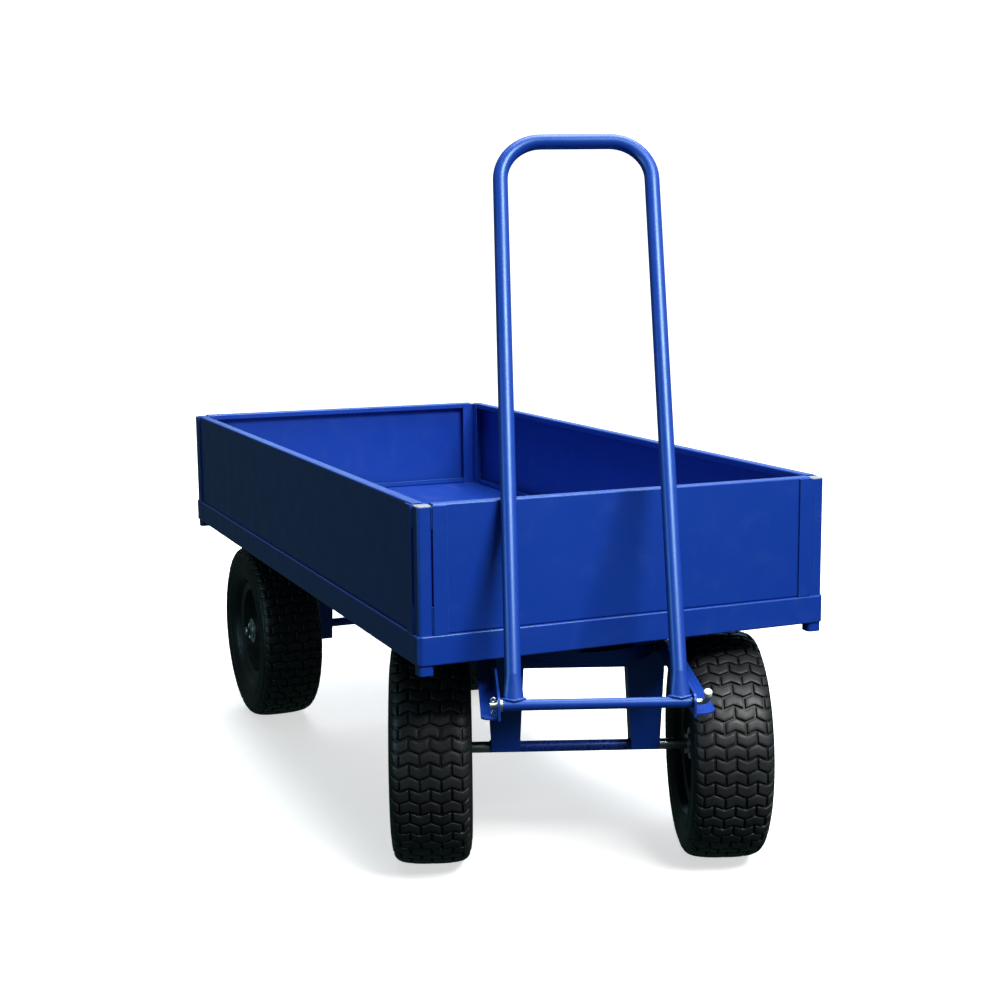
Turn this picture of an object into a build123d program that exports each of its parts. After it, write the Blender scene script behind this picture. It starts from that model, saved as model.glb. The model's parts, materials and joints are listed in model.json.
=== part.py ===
from build123d import *
import math
import os

# Turntable platform truck with drop-in side boards.
# Millimetres. +Z is up, the draw handle is at the -Y end and the floor is z = 0.
# Shapes are built about the middle of the deck, and every piece is moved at the end so that
# the origin lies at the middle of the whole truck's bounding box, on the floor.

# ---- driving dimensions: deck ----
DECK_WIDTH = 752.0
DECK_LENGTH = 1600.0
FRAME_BOTTOM = 440.5
FRAME_TOP = 489.0
RAIL_FLANGE = 30.0
RAIL_WALL = 2.5
FRAME_CORNER_RADIUS = 12.0
FOLD_RADIUS = 3.0
DECK_THICKNESS = 3.0
CROSS_MEMBER_SIZE = 40.0
CROSS_MEMBER_WALL = 2.0

# ---- driving dimensions: corner posts, guides and side boards ----
POST_SIZE = 25.0
POST_WALL = 2.0
POST_CORNER_RADIUS = 6.0
POST_INSET = 3.5
POST_BOTTOM = 424.5
POST_TOP = 693.0
CAP_HEIGHT = 2.0
BOARD_HEIGHT = 208.0
BOARD_THICKNESS = 20.0
BOARD_SHEET = 2.0
BOARD_LIP = 12.0
BOARD_INSET = 4.2
BOARD_REST_GAP = 0.3
GUIDE_WIDTH = 24.0
GUIDE_STRIP = 3.0
GUIDE_WEB = 2.0
GUIDE_PLAY = 0.4

# ---- driving dimensions: running gear ----
WHEEL_RADIUS = 203.0
TYRE_WIDTH = 141.0
TRACK = 516.0
REAR_AXLE_Y = 552.0
TURNTABLE_Y = -577.7
STEER_ANGLE = -20.83
AXLE_RADIUS = 10.0
AXLE_HALF_LENGTH = 324.0
HUB_LENGTH = 100.0
VALVE_X = 22.0

# ---- driving dimensions: turntable and bogie ----
RACE_RADIUS = 143.0
RACE_THICKNESS = 8.0
BALL_RADIUS = 6.0
BALL_PATH_RADIUS = 125.0
BALL_COUNT = 24
BALL_PLAY = 0.08
BOLSTER_BOTTOM = 356.0
BOLSTER_TOP = 384.0
BOLSTER_HALF_LENGTH = 180.0
BOLSTER_HALF_DEPTH = 35.0
BOLSTER_WALL = 5.0
KING_BOLT_RADIUS = 10.0
RUNNING_PLAY = 0.05

# ---- driving dimensions: draw handle and its arms ----
PIVOT_REACH = 432.5
PIVOT_HEIGHT = 403.8
HANDLE_LEAN = 24.88
HANDLE_HEIGHT = 950.0
HANDLE_HALF_SPAN = 127.0
HANDLE_TUBE_RADIUS = 12.7
HANDLE_WALL = 2.0
HANDLE_BEND_RADIUS = 70.0
PIVOT_TUBE_RADIUS = 8.5
PIVOT_TUBE_LEFT = 143.0
PIVOT_TUBE_RIGHT = 145.4
HITCH_PIN_RADIUS = 5.0
LEFT_ARM_X = 147.6
RIGHT_ARM_X = 146.0
ARM_WALL = 3.5
ARM_BOTTOM = BOLSTER_TOP
ARM_TOP = 419.0
ARM_NOSE = 451.0
ARM_NOSE_RADIUS = 14.0

HALF_WIDTH = DECK_WIDTH / 2
HALF_LENGTH = DECK_LENGTH / 2
POST_X = HALF_WIDTH - POST_INSET - POST_SIZE / 2
POST_Y = HALF_LENGTH - POST_INSET - POST_SIZE / 2
CROSS_TOP = FRAME_TOP - DECK_THICKNESS
CROSS_BOTTOM = CROSS_TOP - CROSS_MEMBER_SIZE
LOWER_RACE_TOP = BOLSTER_TOP + RACE_THICKNESS
BALL_Z = LOWER_RACE_TOP + 5.5
UPPER_RACE_BOTTOM = BALL_Z + 5.5
UPPER_RACE_TOP = UPPER_RACE_BOTTOM + RACE_THICKNESS

BOGIE = Pos(0, TURNTABLE_Y, 0) * Rot(0, 0, STEER_ANGLE)
PIVOT = BOGIE * Pos(0, -PIVOT_REACH, PIVOT_HEIGHT)
HANDLE = PIVOT * Rot(-HANDLE_LEAN, 0, 0)
CORNERS = [(sx, sy) for sy in (-1, 1) for sx in (-1, 1)]


# ---- small helpers ----
def block(x0, x1, y0, y1, z0, z1):
    """A box from its two extreme corners."""
    size = (abs(x1 - x0), abs(y1 - y0), abs(z1 - z0))
    middle = ((x0 + x1) / 2, (y0 + y1) / 2, (z0 + z1) / 2)
    return Pos(*middle) * Box(*size)


def rod_x(radius, x0, x1):
    """A round bar along X."""
    return Pos((x0 + x1) / 2, 0, 0) * Rot(0, 90, 0) * Cylinder(radius, abs(x1 - x0))


def ring_x(outer, inner, x0, x1):
    """A round sleeve along X."""
    return rod_x(outer, x0, x1) - rod_x(inner, min(x0, x1) - 1, max(x0, x1) + 1)


def disc_z(radius, z0, z1):
    """A round plate with its axis along Z."""
    return Pos(0, 0, (z0 + z1) / 2) * Cylinder(radius, z1 - z0)


def hexagon_x(across_flats, x0, x1):
    """A hexagonal bar along X."""
    section = Plane.YZ.offset(x0) * RegularPolygon(across_flats / math.sqrt(3), 6)
    return extrude(section, x1 - x0)


def hexagon_z(across_flats, z0, z1):
    """A hexagonal bar along Z."""
    return Pos(0, 0, z0) * extrude(RegularPolygon(across_flats / math.sqrt(3), 6), z1 - z0)


def turned(points):
    """A body turned about X from straight-sided (x, radius) points."""
    return revolve(make_face(Polyline(*points, close=True)), Axis.X)


# ---- deck frame ----
def frame_slab(inset, z0, z1):
    """The deck's outline, moved in by inset and extruded between two heights."""
    outline = RectangleRounded(
        DECK_WIDTH - 2 * inset,
        DECK_LENGTH - 2 * inset,
        max(FRAME_CORNER_RADIUS - inset, 1.0),
    )
    return Pos(0, 0, z0) * extrude(outline, z1 - z0)


def frame_ring():
    """The inward-facing channel section that runs right round the deck."""
    ring = frame_slab(0, FRAME_BOTTOM, FRAME_TOP)
    levels = ring.edges().group_by(Axis.Z)
    ring = fillet(levels[0] + levels[-1], FOLD_RADIUS)
    ring -= frame_slab(RAIL_WALL, FRAME_BOTTOM + RAIL_WALL, FRAME_TOP - RAIL_WALL)
    ring -= frame_slab(RAIL_FLANGE, FRAME_BOTTOM - 1, FRAME_TOP + 1)
    for sx, sy in CORNERS:
        hole = Pos(sx * POST_X, sy * POST_Y, FRAME_BOTTOM - 1) * extrude(
            RectangleRounded(POST_SIZE, POST_SIZE, POST_CORNER_RADIUS),
            FRAME_TOP - FRAME_BOTTOM + 2,
        )
        ring -= hole
    return ring


def end_wedge(sy):
    """The mitred region that belongs to the rail at one end of the deck."""
    outer = 5.0
    inner = -2 * RAIL_FLANGE
    outline = Polyline(
        (-HALF_WIDTH - outer, sy * (HALF_LENGTH + outer)),
        (HALF_WIDTH + outer, sy * (HALF_LENGTH + outer)),
        (HALF_WIDTH + inner, sy * (HALF_LENGTH + inner)),
        (-HALF_WIDTH - inner, sy * (HALF_LENGTH + inner)),
        close=True,
    )
    return Pos(0, 0, FRAME_BOTTOM - 5) * extrude(make_face(outline), 60, dir=(0, 0, 1))


def rails():
    """The end rails and the side rails, mitred at the corners."""
    ring = frame_ring()
    ends = [ring & end_wedge(-1), ring & end_wedge(1)]
    sides = ring - end_wedge(-1) - end_wedge(1)
    return ends, sides.solids()


def deck_sheet():
    """The load surface, flush with the top of the frame."""
    return frame_slab(RAIL_FLANGE, CROSS_TOP, FRAME_TOP)


def cross_members():
    """Square tubes across the frame, under the deck sheet."""
    half = CROSS_MEMBER_SIZE / 2
    reach = HALF_WIDTH - RAIL_WALL - 0.5
    span = 112.5
    places = (TURNTABLE_Y - span, TURNTABLE_Y + span, -150.0, 200.0, REAR_AXLE_Y)
    tube = block(-reach, reach, -half, half, CROSS_BOTTOM, CROSS_TOP)
    tube -= block(
        -reach - 1, reach + 1,
        -half + CROSS_MEMBER_WALL, half - CROSS_MEMBER_WALL,
        CROSS_BOTTOM + CROSS_MEMBER_WALL, CROSS_TOP - CROSS_MEMBER_WALL,
    )
    return [Pos(0, y, 0) * tube for y in places]


# ---- posts, guides and side boards ----
def corner_posts():
    """Square tubes that pass through the frame's corners and stand proud below it."""
    section = RectangleRounded(POST_SIZE, POST_SIZE, POST_CORNER_RADIUS)
    bore = RectangleRounded(
        POST_SIZE - 2 * POST_WALL, POST_SIZE - 2 * POST_WALL, POST_CORNER_RADIUS - POST_WALL
    )
    post = extrude(section - bore, POST_TOP - POST_BOTTOM)
    return [Pos(sx * POST_X, sy * POST_Y, POST_BOTTOM) * post for sx, sy in CORNERS]


def post_caps():
    """Moulded plugs that close the tops of the posts."""
    head = extrude(RectangleRounded(POST_SIZE, POST_SIZE, POST_CORNER_RADIUS), CAP_HEIGHT)
    head = chamfer(head.edges().group_by(Axis.Z)[-1], 1.0)
    plug_size = POST_SIZE - 2 * POST_WALL - 0.2
    plug_radius = POST_CORNER_RADIUS - POST_WALL - 0.1
    plug = extrude(RectangleRounded(plug_size, plug_size, plug_radius), -10)
    cap = head + plug
    return [Pos(sx * POST_X, sy * POST_Y, POST_TOP) * cap for sx, sy in CORNERS]


def guide_section():
    """The groove for a board's end: web on x = 0, board face towards -Y at y = 0."""
    back = BOARD_THICKNESS + GUIDE_PLAY
    strip = GUIDE_PLAY + GUIDE_STRIP
    outline = Polyline(
        (0, -strip),
        (GUIDE_WIDTH, -strip),
        (GUIDE_WIDTH, -GUIDE_PLAY),
        (GUIDE_WEB, -GUIDE_PLAY),
        (GUIDE_WEB, back),
        (GUIDE_WIDTH, back),
        (GUIDE_WIDTH, back + GUIDE_WEB),
        (0, back + GUIDE_WEB),
        close=True,
    )
    return make_face(outline)


def panel_guides():
    """Two grooves on each post, one for each board that ends there."""
    length = POST_TOP + CAP_HEIGHT - FRAME_TOP
    end_guide = extrude(guide_section(), length, dir=(0, 0, 1))
    face_x = POST_X - POST_SIZE / 2
    face_y = POST_Y - POST_SIZE / 2
    guides = []
    front_left = Pos(-face_x, -HALF_LENGTH + BOARD_INSET, FRAME_TOP) * end_guide
    side_guide = Rot(0, 0, 90) * mirror(end_guide, Plane.XZ)
    left_front = Pos(-HALF_WIDTH + BOARD_INSET, -face_y, FRAME_TOP) * side_guide
    for sx, sy in CORNERS:
        for guide in (front_left, left_front):
            piece = guide
            if sx > 0:
                piece = mirror(piece, Plane.YZ)
            if sy > 0:
                piece = mirror(piece, Plane.XZ)
            guides.append(piece)
    return guides


def board(length):
    """A folded steel board standing on y = 0 with its outer face at -Y, centred on x."""
    half = length / 2
    panel = block(-half, half, 0, BOARD_THICKNESS, 0, BOARD_HEIGHT)
    panel -= block(
        -half - 1, half + 1,
        BOARD_SHEET, BOARD_THICKNESS - BOARD_SHEET,
        BOARD_SHEET, BOARD_HEIGHT - BOARD_SHEET,
    )
    panel -= block(
        -half - 1, half + 1,
        BOARD_SHEET, BOARD_THICKNESS + 1,
        BOARD_LIP, BOARD_HEIGHT - BOARD_LIP,
    )
    folds = panel.edges().filter_by(Axis.X).filter_by(
        lambda e: abs(e.center().Y) < 0.01 or abs(e.center().Y - BOARD_THICKNESS) < 0.01
    )
    folds = folds.filter_by(
        lambda e: e.center().Z < 0.01 or e.center().Z > BOARD_HEIGHT - 0.01
    )
    return fillet(folds, FOLD_RADIUS)


def end_board(sy):
    """The board at the front (-1) or rear (+1) of the deck."""
    length = 2 * (POST_X - POST_SIZE / 2 - GUIDE_WEB - GUIDE_PLAY)
    piece = Pos(0, -HALF_LENGTH + BOARD_INSET, FRAME_TOP + BOARD_REST_GAP) * board(length)
    return piece if sy < 0 else Rot(0, 0, 180) * piece


def side_board(sx):
    """The board along the left (-1) or right (+1) side of the deck."""
    length = 2 * (POST_Y - POST_SIZE / 2 - GUIDE_WEB - GUIDE_PLAY)
    piece = Pos(0, -HALF_WIDTH + BOARD_INSET, FRAME_TOP + BOARD_REST_GAP) * board(length)
    return Rot(0, 0, 90 * sx) * piece


# ---- axle brackets and axles ----
def axle_bracket(centre_x, z_bottom, z_top, taper_from):
    """A tapered channel, web forward, that hangs the axle below z_top."""
    wall = 4.0
    depth = BOLSTER_HALF_DEPTH - BOLSTER_WALL
    wide = 33.0
    narrow = 25.0

    def tapered(inset, y0, y1, z_low):
        outline = Polyline(
            (-narrow + inset, z_low),
            (narrow - inset, z_low),
            (wide - inset, taper_from),
            (wide - inset, z_top),
            (-wide + inset, z_top),
            (-wide + inset, taper_from),
            close=True,
        )
        face = Plane.XZ.offset(-y0) * make_face(outline)
        return extrude(face, y1 - y0, dir=(0, 1, 0))

    bracket = tapered(0, -depth, depth, z_bottom)
    bracket -= tapered(wall, -depth + wall, depth + 1, z_bottom - 1)
    bracket -= Pos(0, 0, WHEEL_RADIUS) * rod_x(AXLE_RADIUS, -60, 60)
    return Pos(centre_x, 0, 0) * bracket


def axle():
    """A round bar with a cross hole at each side of both hubs."""
    bar = rod_x(AXLE_RADIUS, -AXLE_HALF_LENGTH, AXLE_HALF_LENGTH)
    bar = chamfer(bar.edges().filter_by(GeomType.CIRCLE), 1.5)
    for x in split_pin_places():
        bar -= Pos(x, 0, 0) * Cylinder(2.1, 3 * AXLE_RADIUS)
    return Pos(0, 0, WHEEL_RADIUS) * bar


def split_pin_places():
    """Where the axle's split pins stand, just outside each washer."""
    half_hub = HUB_LENGTH / 2
    offsets = (half_hub + 7.0, -half_hub - 7.0)
    return [side * (TRACK / 2 + offset) for side in (-1, 1) for offset in offsets]


def axle_washers():
    """Plain washers against both ends of each hub."""
    inner = HUB_LENGTH / 2 + 0.5
    outer = inner + 3.0
    pieces = []
    for side in (-1, 1):
        for x0, x1 in ((inner, outer), (-outer, -inner)):
            middle = side * TRACK / 2
            washer = ring_x(18.0, AXLE_RADIUS + 0.2, middle + x0, middle + x1)
            pieces.append(Pos(0, 0, WHEEL_RADIUS) * washer)
    return pieces


def axle_split_pins():
    """Split pins through the axle, with an eye on top and legs spread below."""
    pieces = []
    for x in split_pin_places():
        shank = Cylinder(1.9, 2 * AXLE_RADIUS + 4)
        eye = Pos(0, 0, AXLE_RADIUS + 4.5) * Rot(0, 90, 0) * Torus(3.2, 1.5)
        leg = Pos(0, 1.4, -AXLE_RADIUS - 4.0) * Rot(30, 0, 0) * Cylinder(1.0, 8)
        other = Pos(0, -1.4, -AXLE_RADIUS - 4.0) * Rot(-30, 0, 0) * Cylinder(1.0, 8)
        pieces.append(Pos(x, 0, WHEEL_RADIUS) * (shank + eye + leg + other))
    return pieces


# ---- turntable ----
def ball_track():
    """The ring-shaped groove that both races share."""
    return Pos(0, 0, BALL_Z) * Torus(BALL_PATH_RADIUS, BALL_RADIUS + BALL_PLAY)


def turntable_upper_race():
    """The plate under the deck, with half the ball track and a skirt that shields the balls."""
    skirt_bottom = LOWER_RACE_TOP + 1.0
    skirt_wall = 4.0
    bore = disc_z(KING_BOLT_RADIUS, UPPER_RACE_BOTTOM - 1, UPPER_RACE_TOP + 1)
    plate = disc_z(RACE_RADIUS, skirt_bottom, UPPER_RACE_TOP)
    plate -= disc_z(RACE_RADIUS - skirt_wall, skirt_bottom - 1, UPPER_RACE_BOTTOM)
    return plate - bore - ball_track()


def turntable_lower_race():
    """The plate on the bogie, with the lower half of the ball track."""
    bore = disc_z(KING_BOLT_RADIUS + RUNNING_PLAY, BOLSTER_TOP - 1, LOWER_RACE_TOP + 1)
    plate = disc_z(RACE_RADIUS - 2, BOLSTER_TOP, LOWER_RACE_TOP)
    return plate - bore - ball_track()


def turntable_balls():
    """The balls that carry the front of the deck."""
    step = 2 * math.pi / BALL_COUNT
    return [
        Pos(
            BALL_PATH_RADIUS * math.cos(i * step),
            BALL_PATH_RADIUS * math.sin(i * step),
            BALL_Z,
        )
        * Sphere(BALL_RADIUS)
        for i in range(BALL_COUNT)
    ]


def turntable_channels():
    """Two short channels between the cross members and the upper race."""
    inner_x = 50.0
    outer_x = 90.0
    reach = 130.0
    wall = 4.0
    channel = block(inner_x, outer_x, -reach, reach, UPPER_RACE_TOP, CROSS_BOTTOM)
    channel -= block(
        inner_x - 1, outer_x - wall,
        -reach - 1, reach + 1,
        UPPER_RACE_TOP + wall, CROSS_BOTTOM - wall,
    )
    channel = Pos(0, TURNTABLE_Y, 0) * channel
    return [channel, mirror(channel, Plane.YZ)]


def king_bolt():
    """The bolt that the bogie turns on."""
    nut_bottom = BOLSTER_TOP - BOLSTER_WALL - 20
    head = hexagon_z(30, UPPER_RACE_TOP, UPPER_RACE_TOP + 13)
    shank = disc_z(KING_BOLT_RADIUS, nut_bottom - 5, UPPER_RACE_TOP)
    return Pos(0, TURNTABLE_Y, 0) * (head + shank)


def king_nut():
    """The lock nut under the bolster's top plate."""
    top = BOLSTER_TOP - BOLSTER_WALL - 0.5
    nut = hexagon_z(30, top - 18, top) - disc_z(KING_BOLT_RADIUS, top - 19, top + 1)
    return Pos(0, TURNTABLE_Y, 0) * nut


# ---- bogie ----
def bogie_bolster():
    """The inverted channel across the bogie, under the turntable."""
    x = BOLSTER_HALF_LENGTH
    y = BOLSTER_HALF_DEPTH
    beam = block(-x, x, -y, y, BOLSTER_BOTTOM, BOLSTER_TOP)
    beam -= block(
        -x - 1, x + 1,
        -y + BOLSTER_WALL, y - BOLSTER_WALL,
        BOLSTER_BOTTOM - 1, BOLSTER_TOP - BOLSTER_WALL,
    )
    return beam - disc_z(KING_BOLT_RADIUS + RUNNING_PLAY, BOLSTER_BOTTOM, BOLSTER_TOP + 1)


def drawbar_arm(side, leg_x, flange_x, flange_nose, corner_radius):
    """An angle that carries one end of the hitch pin, drilled leg inside, flange out."""
    heel = BOLSTER_HALF_DEPTH
    leg = block(leg_x, leg_x + ARM_WALL, -ARM_NOSE, heel, ARM_BOTTOM, ARM_TOP)
    nose_edges = leg.edges().filter_by(Axis.X).sort_by(lambda e: e.center().Y - e.center().Z)
    leg = fillet(nose_edges[:1], ARM_NOSE_RADIUS)
    flange = block(leg_x, flange_x, -flange_nose, heel, ARM_BOTTOM, ARM_BOTTOM + ARM_WALL)
    corner_edges = flange.edges().filter_by(Axis.Z).sort_by(lambda e: e.center().Y - e.center().X)
    flange = fillet(corner_edges[:1], corner_radius)
    hole = Pos(0, -PIVOT_REACH, PIVOT_HEIGHT) * rod_x(HITCH_PIN_RADIUS + 0.1, 100, 200)
    arm = leg + flange - hole
    return arm if side > 0 else mirror(arm, Plane.YZ)


def pin_bend():
    """The knee and the tip of the hitch pin's bent right end, about the pivot."""
    knee = Vector(RIGHT_ARM_X + 21.0, 0, 0)
    return knee, knee + Vector(0, -12.0, 17.5)


def hitch_pin():
    """The round pin through both arms, its right end bent forward and up."""
    start_x = -LEFT_ARM_X - ARM_WALL - 12.0
    knee, tip = pin_bend()
    path = FilletPolyline((start_x, 0, 0), knee, tip, radius=8.0)
    section = Plane(path @ 0, z_dir=path % 0) * Circle(HITCH_PIN_RADIUS)
    pin = sweep(section, path=path)
    return pin - Pos(split_pin_x(), 0, 0) * Cylinder(1.6, 20)


def split_pin_x():
    """Where the split pin crosses the hitch pin's straight end."""
    return -LEFT_ARM_X - ARM_WALL - 6.5


def hitch_pin_cap():
    """The moulded cap on the bent end of the pin."""
    knee, tip = pin_bend()
    direction = (tip - knee).normalized()
    plane = Plane(origin=tip - direction * 4.0, z_dir=direction)
    cap = extrude(plane * Circle(HITCH_PIN_RADIUS + 1.4), 8.0)
    cap = fillet(cap.edges().filter_by(GeomType.CIRCLE).sort_by(Axis.Z)[-1:], 2.5)
    bore = extrude(plane * Circle(HITCH_PIN_RADIUS), 4.0)
    return cap - bore


def hitch_washers():
    """A spacing washer inside the left arm and a thinner one outside it."""
    bore = HITCH_PIN_RADIUS + 0.1
    outside = LEFT_ARM_X + ARM_WALL + 0.1
    spacer = ring_x(9.5, bore, -PIVOT_TUBE_LEFT - 0.5, -LEFT_ARM_X + 0.1)
    return [spacer, ring_x(8.5, bore, -outside, -outside - 1.0)]


def hitch_split_pin():
    """The split pin through the pin's straight end, eye up and legs spread."""
    shank = Cylinder(1.5, 2 * HITCH_PIN_RADIUS + 3)
    eye = Pos(0, 0, HITCH_PIN_RADIUS + 4.0) * Rot(90, 0, 0) * Torus(3.0, 1.3)
    legs = [
        Pos(turn * 1.9, 0, -HITCH_PIN_RADIUS - 4.5) * Rot(0, -25 * turn, 0) * Cylinder(0.9, 9)
        for turn in (-1, 1)
    ]
    return Pos(split_pin_x(), 0, 0) * (shank + eye + legs[0] + legs[1])


# ---- draw handle ----
def handle_path():
    """The centre line of the bent tube, from one foot to the other."""
    foot = 46.0
    return FilletPolyline(
        (-HANDLE_HALF_SPAN, 0, foot),
        (-HANDLE_HALF_SPAN, 0, HANDLE_HEIGHT),
        (HANDLE_HALF_SPAN, 0, HANDLE_HEIGHT),
        (HANDLE_HALF_SPAN, 0, foot),
        radius=HANDLE_BEND_RADIUS,
    )


def handle_core(radius, foot_half_width, foot_half_depth):
    """The tube's volume with flattened feet that come down to the pivot tube."""
    foot = 46.0
    path = handle_path()
    core = sweep(Plane(path @ 0, z_dir=path % 0) * Circle(radius), path=path)
    for side in (-1, 1):
        x = side * HANDLE_HALF_SPAN
        top = Pos(x, 0, foot) * Circle(radius)
        bottom = Pos(x, 0, 0) * Ellipse(foot_half_width, foot_half_depth)
        core += loft([top, bottom])
    return core


def handle_loop():
    """The D-shaped handle, coped over the pivot tube at both feet."""
    outer = handle_core(HANDLE_TUBE_RADIUS, 16.5, 8.2)
    inner = handle_core(HANDLE_TUBE_RADIUS - HANDLE_WALL, 14.5, 6.2)
    cope = rod_x(PIVOT_TUBE_RADIUS, -200, 200)
    below = block(-200, 200, -30, 30, -30, 0)
    return outer - inner - cope - below


def pivot_tube():
    """The tube that turns on the hitch pin."""
    bore = HITCH_PIN_RADIUS + RUNNING_PLAY
    return ring_x(PIVOT_TUBE_RADIUS, bore, -PIVOT_TUBE_LEFT, PIVOT_TUBE_RIGHT)


# ---- wheels: built about the origin, axle along X, outer face towards +X ----
def tyre():
    """The tyre's casing with its beads; the crown is plain."""
    half = TYRE_WIDTH / 2
    outside = [
        (0.614, 0.503), (0.63, 0.54), (0.65, 0.568), (0.72, 0.585), (0.83, 0.613), (0.93, 0.66),
        (0.99, 0.74), (1.0, 0.82), (0.98, 0.88), (0.93, 0.93), (0.84, 0.965),
        (0.66, 0.985), (0.40, 0.997),
    ]
    inside = [
        (0.50, 0.502), (0.55, 0.56), (0.72, 0.615), (0.85, 0.68), (0.90, 0.78),
        (0.84, 0.875), (0.70, 0.925), (0.45, 0.945),
    ]

    def section_points(shape):
        right = [(u * half, v * WHEEL_RADIUS) for u, v in shape]
        left = [(-u * half, v * WHEEL_RADIUS) for u, v in reversed(shape)]
        return right, left

    right, left = section_points(outside)
    outer_curve = Spline(*right, (0, WHEEL_RADIUS), *left)
    right, left = section_points(inside)
    inner_curve = Spline(*right, (0, 0.948 * WHEEL_RADIUS), *left)
    sides = [
        Line(outer_curve @ 0, inner_curve @ 0),
        Line(outer_curve @ 1, inner_curve @ 1),
    ]
    return revolve(make_face([outer_curve, inner_curve, *sides]), Axis.X)


def inner_tube():
    """The inflated tube, with its valve bonded on."""
    middle = 0.735 * WHEEL_RADIUS
    wall = 2.5

    def oval(half_width, half_height):
        shape = RectangleRounded(2 * half_width, 2 * half_height, 0.9 * half_height)
        return Pos(0, middle) * shape

    tall = 35.0
    wide = 54.0
    shell = revolve(oval(wide, tall) - oval(wide - wall, tall - wall), Axis.X)
    stem_low = 81.0
    stem_high = middle - tall + 0.6 * wall
    stem = Pos(VALVE_X, 0, (stem_low + stem_high) / 2) * Cylinder(4.0, stem_high - stem_low)
    return shell + stem


def rim_half(side):
    """One pressed dish of the split rim."""
    wall = 3.0
    centre = [(0.0, 28.5), (0.0, 62.0), (12.0, 76.0), (12.0, 97.0), (44.0, 101.0), (46.0, 114.0)]
    outer = [(r_x + wall, r) for r_x, r in centre[:2]]
    outer += [(15.0, 74.5), (15.0, 94.2), (46.4, 98.2), (49.0, 114.0)]
    dish = turned([(side * x, r) for x, r in centre + outer[::-1]])
    if side > 0:
        dish -= Pos(VALVE_X, 0, 100.0) * Cylinder(4.3, 40.0)
    for x, y, z in bolt_places():
        dish -= Pos(x, y, z) * rod_x(4.2, -10, 10)
    return dish


def bolt_places():
    """The rim bolts' axes, spaced round the dish."""
    radius = 48.0
    turns = [math.radians(45 + 90 * i) for i in range(4)]
    return [(0, radius * math.cos(a), radius * math.sin(a)) for a in turns]


def hub():
    """The hub barrel, counterbored at both ends for its bearings."""
    half = HUB_LENGTH / 2
    barrel = ring_x(28.5, 20.0, -half, half)
    for side in (-1, 1):
        barrel -= rod_x(23.5, side * (half - 14), side * (half + 1))
    return barrel


def hub_bearings():
    """The two ball bearings, shown as closed rings."""
    half = HUB_LENGTH / 2
    bore = AXLE_RADIUS + RUNNING_PLAY
    return [ring_x(23.5, bore, side * (half - 14), side * half) for side in (-1, 1)]


def rim_bolts():
    """Four bolts through both dishes, each with its nut."""
    pieces = []
    for place in bolt_places():
        bolt = hexagon_x(13, 3.0, 8.5) + rod_x(4.0, -15, 3.0)
        nut = hexagon_x(13, -9.5, -3.0) - rod_x(4.0, -10, -2)
        pieces += [Pos(*place) * bolt, Pos(*place) * nut]
    return pieces


def wheel(name):
    """All the nodes of one wheel, named after its corner."""
    return {
        f"{name}_tyre": [tyre()],
        f"{name}_inner_tube": [inner_tube()],
        f"{name}_rim_halves": [rim_half(1), rim_half(-1)],
        f"{name}_hub": [hub()],
        f"{name}_bearings": hub_bearings(),
        f"{name}_rim_bolts": rim_bolts(),
    }


def wheel_places():
    """Each wheel's name and the place of its centre, outer face turned outwards."""
    half = TRACK / 2
    rear = Pos(0, REAR_AXLE_Y, 0)
    places = {}
    for end, base in (("front", BOGIE), ("rear", rear)):
        places[f"{end}_left"] = base * Pos(-half, 0, WHEEL_RADIUS) * Rot(0, 0, 180)
        places[f"{end}_right"] = base * Pos(half, 0, WHEEL_RADIUS)
    return places


# ---- the whole truck ----
def chassis_nodes():
    end_rails, side_rails = rails()
    rear = Pos(0, REAR_AXLE_Y, 0)
    brackets = [axle_bracket(side * 145.0, 172.0, CROSS_BOTTOM, 395.0) for side in (-1, 1)]
    return {
        "end_rails": end_rails,
        "side_rails": side_rails,
        "cross_members": cross_members(),
        "deck_sheet": [deck_sheet()],
        "corner_posts": corner_posts(),
        "post_caps": post_caps(),
        "panel_guides": panel_guides(),
        "turntable_channels": turntable_channels(),
        "turntable_upper_race": [Pos(0, TURNTABLE_Y, 0) * turntable_upper_race()],
        "king_bolt": [king_bolt()],
        "king_nut": [king_nut()],
        "rear_axle_brackets": [rear * piece for piece in brackets],
        "rear_axle": [rear * axle()],
        "rear_axle_washers": [rear * piece for piece in axle_washers()],
        "rear_split_pins": [rear * piece for piece in axle_split_pins()],
        "front_board": [end_board(-1)],
        "rear_board": [end_board(1)],
        "left_board": [side_board(-1)],
        "right_board": [side_board(1)],
    }


def bogie_nodes():
    top = BOLSTER_TOP - BOLSTER_WALL
    brackets = [axle_bracket(side * 125.0, WHEEL_RADIUS, top, 356.0) for side in (-1, 1)]
    own = {
        "turntable_lower_race": [turntable_lower_race()],
        "turntable_balls": turntable_balls(),
        "bogie_bolster": [bogie_bolster()],
        "front_axle_brackets": brackets,
        "front_axle": [axle()],
        "front_axle_washers": axle_washers(),
        "front_split_pins": axle_split_pins(),
        "drawbar_arm_left": [drawbar_arm(-1, LEFT_ARM_X, 177.0, 443.0, 12.0)],
        "drawbar_arm_right": [drawbar_arm(1, RIGHT_ARM_X, 183.0, 436.0, 26.0)],
    }
    at_pivot = {
        "hitch_pin": [hitch_pin()],
        "hitch_pin_cap": [hitch_pin_cap()],
        "hitch_washers": hitch_washers(),
        "hitch_split_pin": [hitch_split_pin()],
    }
    nodes = {name: [BOGIE * piece for piece in pieces] for name, pieces in own.items()}
    nodes.update({name: [PIVOT * piece for piece in pieces] for name, pieces in at_pivot.items()})
    return nodes


def handle_nodes():
    return {"handle_loop": [HANDLE * handle_loop()], "pivot_tube": [HANDLE * pivot_tube()]}


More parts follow.
